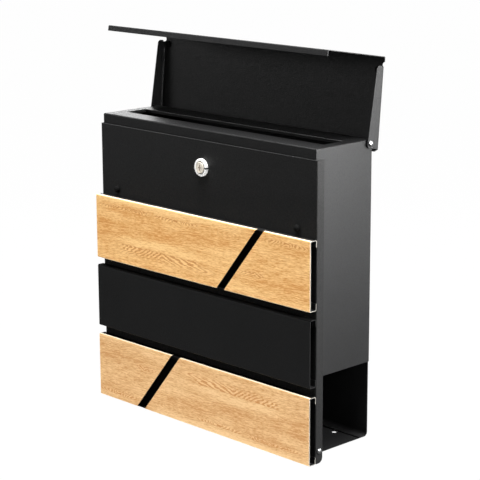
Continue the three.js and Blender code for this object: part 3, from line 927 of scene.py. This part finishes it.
@dataclass
class FilmPanel:
    """One wood-look film panel, wrapped round the strip's folds and cut along the slanting slot."""

    strip: str
    side: str
    finish: OakFilm
    fold: float = 1.95 * MM
    wrap: float = 0.5 * MM
    thickness: float = 0.25 * MM
    slant_run: float = 66.0 * MM
    segments: int = 8

    def build(self) -> None:
        """Bends the film round both folds, trims it and gives it its thickness."""
        node = f"{self.strip}_wood_film_{self.side}"
        film_low, film_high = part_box(node)
        strip_low, strip_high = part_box(f"{self.strip}_strip")
        front = film_low.y
        grow = strip_low.y - front
        top = strip_high.z + grow
        bottom = strip_low.z - grow
        slack = 20 * MM
        low_x = film_low.x - (slack if self.side == "right" else 0.0)
        high_x = film_high.x + (slack if self.side == "left" else 0.0)
        bench = Bench.sheet(f"{node}_wrapped", (low_x, front, bottom), (high_x, front, top))
        bench.edit()
        for height in (top, bottom):
            self.select_level(bench, height, front)
            turn_in = {"value": (0.0, self.fold + self.wrap, 0.0)}
            bpy.ops.mesh.extrude_region_move(TRANSFORM_OT_translate=turn_in)
        for height in (top, bottom):
            self.select_level(bench, height, front)
            bpy.ops.mesh.bevel(offset=self.fold, segments=self.segments, affect="EDGES")
        self.trim(bench, film_low, film_high)
        self.face_outwards(bench)
        bench.leave()
        bench.modifier("SOLIDIFY", thickness=self.thickness, offset=-1.0, use_even_offset=True)
        bench.round_edges(0.07 * MM, 2).smooth()
        report(bench, Body.DOOR, self.finish, node)

    @staticmethod
    def select_level(bench: Bench, height: float, front: float) -> None:
        """Selects the edge that runs along the film at a height in its front plane."""
        bench.edges(lambda a, b: all(abs(p.z - height) < CLOSE and abs(p.y - front) < CLOSE for p in (a, b)))

    def trim(self, bench: Bench, low: Vector, high: Vector) -> None:
        """Cuts the film along the slot: the left panel's right edge or the right panel's left edge."""
        run = self.slant_run * size(f"{self.strip}_wood_film_{self.side}").z / size(f"{self.strip}_strip").z
        across = Vector((high.z - low.z, 0.0, -run)).normalized()
        left = self.side == "left"
        corner = Vector((high.x, 0.0, high.z)) if left else Vector((low.x, 0.0, low.z))
        select_whole_mesh()
        bpy.ops.mesh.bisect(plane_co=corner, plane_no=across, clear_outer=left, clear_inner=not left)

    @staticmethod
    def face_outwards(bench: Bench) -> None:
        """Turns the sheet's faces to the front."""
        select_whole_mesh()
        bpy.ops.mesh.normals_make_consistent(inside=False)
        mesh = bmesh.from_edit_mesh(bench.piece.data)
        widest = max(mesh.faces, key=lambda f: f.calc_area())
        if widest.normal.y > 0:
            bpy.ops.mesh.flip_normals()


@dataclass
class Door:
    """Door panel, three strips, the film on two of them, the rivets and the bumpers."""

    strips: tuple[str, ...] = ("upper", "middle", "lower")
    filmed: tuple[str, ...] = ("upper", "lower")

    def build(self) -> None:
        """Builds everything fixed to the door except the lock."""
        low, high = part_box("door_panel")
        top_edge = Rim(low.y, high.z)
        panel = coated_copy("door_panel", rolled=top_edge.has_edge)
        # The door coat carries painted shade towards its right and its foot.
        # The door's rolled top edge gets a painted highlight.
        panel.dress(SHADED_DOOR_COAT).dress(EDGE_HIGHLIGHT_COAT, top_edge.has_face)
        report(panel, Body.DOOR, SHADED_DOOR_COAT, "door_panel")
        for strip in self.strips:
            self.strip(strip)
        for strip in self.filmed:
            height = middle(f"{strip}_strip").z
            film = OakFilm(f"oak_film_{strip}", Slot.WOOD_FILM, height, **self.print_of(strip))
            for side, _ in LEFT_RIGHT:
                FilmPanel(strip, side, film).build()
        self.rivets()
        for side, _ in LEFT_RIGHT:
            Bumper(f"door_bumper_{side}", Body.DOOR, math.pi).build()

    @staticmethod
    def print_of(strip: str) -> dict:
        """The lower strip's print is the upper's turned end for end, a little duller."""
        if strip == "upper":
            return {}
        return {"turned": True, "pale": (0.84, 0.550, 0.264), "tan": (0.560, 0.264, 0.080)}

    def strip(self, strip: str) -> None:
        """Coats one strip; the middle and lower ones get painted shade on their top fold and flange, and a
        filmed one shows the bright cut of its sheet at both ends.
        """
        node = f"{strip}_strip"
        bench = coated_copy(node).dress(BLACK_COAT)
        # Painted shade on the top fold and flange, which the strip above shades.
        if strip != "upper":
            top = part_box(node)[1].z - 1.4 * MM
            bench.dress(FOLD_SHADE_COAT, lambda place, normal: place.z > top and normal.z > 0.35)
        if strip in self.filmed:
            end = size(node).x / 2 - 0.05 * MM
            bench.dress(CUT_LAMINATE, lambda place, normal: abs(place.x) > end and abs(normal.x) > 0.9)
        report(bench, Body.DOOR, BLACK_COAT, node)

    def rivets(self) -> None:
        """Turns one blind rivet and sets a copy at every rivet node."""
        span = size("upper_strip_rivet_top_left") / MM
        length, head = span.y, span.x / 2
        master = Bench.turned("rivet_master", in_mm(
            (0.0, length), (0.9, length), (1.2, length - 0.15), (2.3, length - 0.35), (2.5, length - 0.8),
            (2.375, length - 1.15), (1.6, length - 1.2), (1.6, 0.6), (head, 0.6), (head, 0.42),
            (head * 0.8, 0.12), (head * 0.5, 0.0), (0.9, 0.0), (0.8, 0.25), (0.0, 0.25),
        ), 24).smooth(40.0)
        master.transform(Matrix.Rotation(math.pi, 4, "X"))
        for strip, row, (side, _) in product(self.strips, ("top", "bottom"), LEFT_RIGHT):
            node = f"{strip}_strip_rivet_{row}_{side}"
            place = middle(node)
            place.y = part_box(node)[0].y + length * MM
            rivet = master.copy(f"{node}_blind").transform(Matrix.Translation(place))
            report(rivet, Body.DOOR, ZINC, node)
        bpy.data.objects.remove(master.piece)


@dataclass
class HingeSet:
    """Screw, spacer and nut at both ends of one hinge axis."""

    hinge: str
    shank: float = 1.5 * MM
    recess: float = 1.9 * MM
    head_height: float = 2.1 * MM
    pitch: float = 0.5 * MM
    groove: float = 0.16 * MM

    def build(self) -> None:
        """Builds the three pieces on both sides."""
        for side, sign in LEFT_RIGHT:
            outward = Matrix.Rotation(-sign * math.pi / 2, 4, "Z")
            self.set_piece(self.screw(side), f"{self.hinge}_screw_{side}", outward, ZINC)
            self.set_piece(self.spacer(side), f"{self.hinge}_spacer_{side}", outward, NYLON)
            self.set_piece(self.nut(side), f"{self.hinge}_nut_{side}", outward, ZINC)

    @staticmethod
    def set_piece(bench: Bench, node: str, outward: Matrix, finish: Finish) -> None:
        """Turns a piece outwards, centres it on its node and reports it."""
        bench.transform(outward)
        bench.centre_on(node)
        report(bench, Body.CASE, finish, node)

    def screw(self, side: str) -> Bench:
        """A pan-head screw with a rolled thread and a tapered cross recess."""
        node = f"{self.hinge}_screw_{side}"
        head = size(node).z / 2
        top = self.head_height
        under = top - size(node).x
        thread = []
        for turn in range(1, int(-under / self.pitch) - 1):
            base = under + self.pitch * turn
            thread += [(self.shank - self.groove, base), (self.shank, base + self.pitch / 2)]
        crown = quarter_round(head, 0.55 * MM, top - 0.55 * MM, 7)
        bench = Bench.turned(f"{node}_pan", [
            (0.0, under), (self.shank - 0.4 * MM, under), *thread, (self.shank, 0.0),
            (head - 0.1 * MM, 0.0), (head, 0.12 * MM), *crown, (0.0, top),
        ], 32)
        narrow = 0.38 * MM
        for x, z in ((self.recess, narrow), (narrow, self.recess)):
            blade = Bench.block("blade", (-x, top - 1.1 * MM, -z), (x, top + MM, z)).edit()
            blade.faces(lambda centre, normal: normal.y < -0.9)
            bpy.ops.transform.resize(value=(0.45, 1.0, 0.8) if x > z else (0.8, 1.0, 0.45))
            bench.cut(blade.leave())
        return bench.smooth(38.0)

    def spacer(self, side: str) -> Bench:
        """A chamfered nylon spacer."""
        node = f"{self.hinge}_spacer_{side}"
        outer = size(node).z / 2
        length = size(node).x
        inner = self.shank + 0.3 * MM
        edge = min(0.25 * MM, length / 4)
        return Bench.turned(f"{node}_turned", [
            (inner, edge), (inner + edge, 0.0), (outer - edge, 0.0), (outer, edge), (outer, length - edge),
            (outer - edge, length), (inner + edge, length), (inner, length - edge), (inner, edge),
        ], 36).smooth(40.0)

    def nut(self, side: str) -> Bench:
        """A hexagon nut with chamfered corners and bore."""
        node = f"{self.hinge}_nut_{side}"
        return hex_nut(f"{node}_chamfered", size(node).z / 2, size(node).x, self.shank + 0.25 * MM)


def hex_nut(name: str, corner: float, thickness: float, bore: float) -> Bench:
    """A hexagon nut along +Y.

    Args:
        name: the new piece's name.
        corner: distance from the axis to a corner.
        thickness: its thickness.
        bore: radius of its hole.

    Returns:
        The bench with the nut on it.
    """
    lying = (math.pi / 2, 0, 0)
    nut = Bench.primitive(name, "cylinder", vertices=6, radius=corner, depth=thickness, rotation=lying)
    half = thickness / 2
    chamfer = 0.12 * corner
    flat, rim = corner - chamfer * 1.6, corner * 1.01
    cone = Bench.turned("nut_chamfer", [
        (0.0, -half), (flat, -half), (rim, chamfer - half), (rim, half - chamfer), (flat, half), (0.0, half),
    ], 48)
    nut.modifier("BOOLEAN", operation="INTERSECT", object=cone.piece, solver="EXACT")
    bpy.data.objects.remove(cone.piece)
    mouth = 0.3 * MM
    drill = Bench.turned("nut_bore", [
        (0.0, -thickness), (bore + mouth, -thickness), (bore + mouth, -half), (bore, mouth - half),
        (bore, half - mouth), (bore + mouth, half), (bore + mouth, thickness), (0.0, thickness),
    ], 32)
    return nut.cut(drill).round_edges(0.05 * MM, 1, 25.0).smooth(30.0)


@dataclass
class CamLock:
    """The cam lock: rim and barrel with its nut on the door, and the turning plug, cam and cam screw."""

    rim: float = 10.6 * MM
    proud: float = 4.0 * MM
    barrel: float = 9.0 * MM
    plug: float = 6.6 * MM
    gap: float = 0.3 * MM
    slot_half_width: float = 0.75 * MM
    slot_half_height: float = 3.9 * MM
    ward_half_width: float = 2.4 * MM
    plug_forward: float = 1.6 * MM
    notch_start: float = 7.0 * MM
    notch_half_height: float = 0.9 * MM

    def build(self) -> None:
        """Builds the five pieces of the lock."""
        self.housing()
        self.plug_face()
        nut = size("lock_nut")
        back_nut = hex_nut("lock_nut_chamfered", max(nut.x, nut.z) / 2, nut.y, self.barrel + self.gap)
        if nut.z > nut.x:
            back_nut.transform(Matrix.Rotation(math.pi / 6, 4, "Y"))
        back_nut.transform(Matrix.Translation(middle("lock_nut")))
        report(back_nut, Body.DOOR, ZINC, "lock_nut")
        for node in ("lock_cam", "cam_screw"):
            report(coated_copy(node, f"{node}_eased", 0.15 * MM), Body.LOCK_CORE, ZINC, node)

    def housing(self) -> None:
        """Turns the stepped rim and barrel and cuts the index notch."""
        low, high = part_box("lock_housing")
        length = (high.y - low.y) / MM
        bore, rim, barrel = ((self.plug + self.gap) / MM, self.rim / MM, self.barrel / MM)
        seat = length + (self.gap - self.proud) / MM
        bench = Bench.turned("lock_housing_turned", in_mm(
            (bore, 0.0), (barrel, 0.0), (barrel, seat), (rim - 0.2, seat), (rim, seat + 0.2),
            (rim, length - 1.5), (rim - 0.1, length - 1.1), (rim - 0.4, length - 0.55),
            (rim - 0.85, length - 0.18), (rim - 1.45, length), (bore + 1.1, length),
            (bore + 0.85, length - 0.12), (bore + 0.55, length - 0.42), (bore + 0.2, length - 0.5),
            (bore, length - 0.7), (bore, 0.0),
        ), 64)
        front = high.y - low.y
        low_corner = (self.notch_start, front - 3.2 * MM, -self.notch_half_height)
        high_corner = (self.rim + MM, front + MM, self.notch_half_height)
        bench.cut(Bench.block("notch", low_corner, high_corner)).smooth(30.0)
        # The bore and the index notch get near-black painted shade.
        bench.dress(CHROME).dress(RECESS_SHADE, lambda place, normal: self.recessed(place, normal, front))
        place = Vector((0.0, high.y, middle("lock_housing").z))
        bench.transform(Matrix.Translation(place) @ Matrix.Rotation(math.pi, 4, "X"))
        report(bench, Body.DOOR, CHROME, "lock_housing")

    def recessed(self, place: Vector, normal: Vector, front: float) -> bool:
        """Tells whether a face of the turned housing lies in its bore or in the index notch.

        Args:
            place: the face's middle, with the housing's axis along y.
            normal: the face's normal.
            front: the height of the rim's front above the barrel's end.

        Returns:
            True of a face in either recess.
        """
        in_bore = math.hypot(place.x, place.z) < self.plug + self.gap + 0.42 * MM
        in_notch = place.x > self.notch_start and abs(place.z) < self.notch_half_height + CLOSE
        in_notch = in_notch and front - 3.3 * MM < place.y < front
        return in_bore or (in_notch and (abs(normal.z) > 0.8 or place.y < front - 2.5 * MM))

    def plug_face(self) -> None:
        """Turns the plug, cuts the keyway and joins the square tail."""
        low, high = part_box("lock_plug")
        tail = 2.8 * MM
        body = high.y - low.y - tail + self.plug_forward
        face, plug = body / MM, self.plug / MM
        bench = Bench.turned("lock_plug_turned", in_mm(
            (0.0, 0.0), (plug - 0.3, 0.0), (plug, 0.3), (plug, face - 0.35), (plug - 0.35, face),
            (plug - 1.3, face), (plug - 1.6, face - 0.25), (plug - 2.0, face - 0.25),
            (plug - 2.2, face - 0.1), (0.0, face - 0.1),
        ), 64)
        shutter = 0.7 * MM
        for name, x, z, depth in (
            ("keyway", self.slot_half_width, self.slot_half_height, shutter),
            ("ward", self.ward_half_width, self.slot_half_width, shutter * 0.8),
        ):
            bench.cut(Bench.block(name, (-x, body - depth, -z), (x, body + MM, z)))
        bench.smooth(30.0)
        floor = body - 0.3 * MM
        # The floors of the keyway and ward get a brown painted shade.
        bench.dress(NICKEL).dress(KEYWAY_SHADE, lambda at, normal: MM < at.y < floor and normal.y > 0.9)
        place = Vector((0.0, high.y - tail, middle("lock_plug").z))
        bench.transform(Matrix.Translation(place) @ Matrix.Rotation(math.pi, 4, "X"))
        half = 3.5 * MM
        low_corner = (-half, place.y, place.z - half)
        square = Bench.block("lock_plug_square", low_corner, (half, high.y, place.z + half))
        square.round_edges(0.3 * MM, 2).smooth()
        choose(bench.piece)
        square.piece.select_set(True)
        bpy.ops.object.join()
        report(bench, Body.LOCK_CORE, NICKEL, "lock_plug")


# --- Studio ---


@dataclass(frozen=True)
class Softbox:
    """A rectangular soft light aimed at a point."""

    name: str
    place: Colour
    aim: Colour
    width: float
    height: float
    radiance: float

    def build(self) -> None:
        """Adds the light, unseen by the camera itself."""
        light = bpy.data.lights.new(self.name, "AREA")
        light.shape = "RECTANGLE"
        light.size = self.width
        light.size_y = self.height
        light.energy = self.radiance * math.pi * self.width * self.height
        lamp = bpy.data.objects.new(self.name, light)
        lamp.location = self.place
        lamp.rotation_euler = (Vector(self.aim) - Vector(self.place)).to_track_quat("-Z", "Y").to_euler()
        lamp.visible_camera = False
        bpy.context.scene.collection.objects.link(lamp)


@dataclass
class Studio:
    """Pale floor, soft lights, white surroundings and the camera."""

    floor_height: float = -0.46
    camera_place: Colour = (1.4216, -1.4077, 0.50556)
    yaw: float = -45.94
    pitch: float = -13.24
    roll: float = -0.23
    lens: float = 126.0
    softboxes: tuple[Softbox, ...] = (
        Softbox("overhead_softbox", (0.1, -0.35, 2.4), (0, 0, 0), 1.6, 1.2, 27.0),
        Softbox("high_left_softbox", (-0.8, -1.45, 1.95), (0, 0, 0), 1.6, 1.2, 0.9),
        Softbox("left_front_softbox", (-2.4, -2.2, 0.85), (0, 0, 0.1), 1.6, 0.6, 2.7),
        Softbox("left_back_softbox", (-1.7, 1.6, 0.75), (-0.15, 0, 0.15), 1.4, 1.1, 4.7),
        Softbox("side_softbox", (0.90, 0.10, 0.44), (0.18, -0.04, 0.1), 0.5, 0.4, 10.0),
        Softbox("side_near_softbox", (0.75, 0.05, 0.24), (0.18, -0.09, 0.17), 0.3, 0.3, 27.0),
        Softbox("side_back_softbox", (0.62, 0.28, 0.24), (0.18, -0.08, 0.17), 0.3, 0.3, 2.2),
        Softbox("side_low_softbox", (1.5, 1.2, 0.1), (0.18, 0, 0.1), 1.4, 0.8, 2.4),
    )

    def build(self) -> None:
        """Builds the whole studio."""
        self.floor()
        self.world()
        for softbox in self.softboxes:
            softbox.build()
        self.camera()
        bpy.context.scene.view_settings.view_transform = "Standard"

    def floor(self) -> None:
        """A wide pale floor that the camera sees as white outside the mailbox's shadow."""
        bench = Bench.primitive("studio_floor", "plane", size=30.0, location=(0, 0, self.floor_height))
        material = bpy.data.materials.new("pale_floor")
        material.use_nodes = True
        graph = Graph(material.node_tree)
        direct = graph.node("ShaderNodeLightPath", output="Is Camera Ray")
        pale = graph.node("ShaderNodeBsdfDiffuse", {"Color": (0.86, 0.86, 0.86, 1.0)})
        white = graph.node("ShaderNodeEmission", {"Color": (1.0, 1.0, 1.0, 1.0), "Strength": 1.0})
        graph.finish(graph.node("ShaderNodeMixShader", {0: direct * 0.99, 1: pale, 2: white}))
        bench.piece.data.materials.append(material)
        bench.piece.visible_glossy = False

    def world(self) -> None:
        """White to the camera, and a low level of fill and reflection."""
        world = bpy.data.worlds.new("studio")
        bpy.context.scene.world = world
        world.use_nodes = True
        graph = Graph(world.node_tree)
        glossy = graph.node("ShaderNodeLightPath", output="Is Glossy Ray")
        direct = graph.node("ShaderNodeLightPath", output="Is Camera Ray")
        level = glossy * 0.075 + 0.01
        level = level * (1.0 - direct) + direct
        white = {"Color": (1.0, 1.0, 1.0, 1.0), "Strength": level}
        graph.finish(graph.node("ShaderNodeBackground", white), "World")

    def camera(self) -> None:
        """Stands the camera where the mailbox is seen from the right, a little above."""
        yaw, pitch, roll = (math.radians(a) for a in (self.yaw, self.pitch, self.roll))
        forward = Vector((math.sin(yaw) * math.cos(pitch), math.cos(yaw) * math.cos(pitch), math.sin(pitch)))
        level = Vector((math.cos(yaw), -math.sin(yaw), 0.0))
        upright = level.cross(forward)
        right = level * math.cos(roll) + upright * math.sin(roll)
        up = upright * math.cos(roll) - level * math.sin(roll)
        axes = Matrix((right, up, -forward)).transposed().to_4x4()
        data = bpy.data.cameras.new("camera")
        data.sensor_width = 36.0
        data.lens = self.lens
        camera = bpy.data.objects.new("camera", data)
        camera.matrix_world = Matrix.Translation(self.camera_place) @ axes
        bpy.context.scene.collection.objects.link(camera)
        bpy.context.scene.camera = camera


def main() -> None:
    """Builds the mailbox and its studio."""
    logging.basicConfig(level=logging.INFO, format="%(message)s")
    hinges = (HingeSet("lid_hinge"), HingeSet("door_hinge"))
    for assembly in (Studio(), Case(), Lid(), Door(), *hinges, CamLock()):
        assembly.build()


if __name__ == "__main__":
    main()
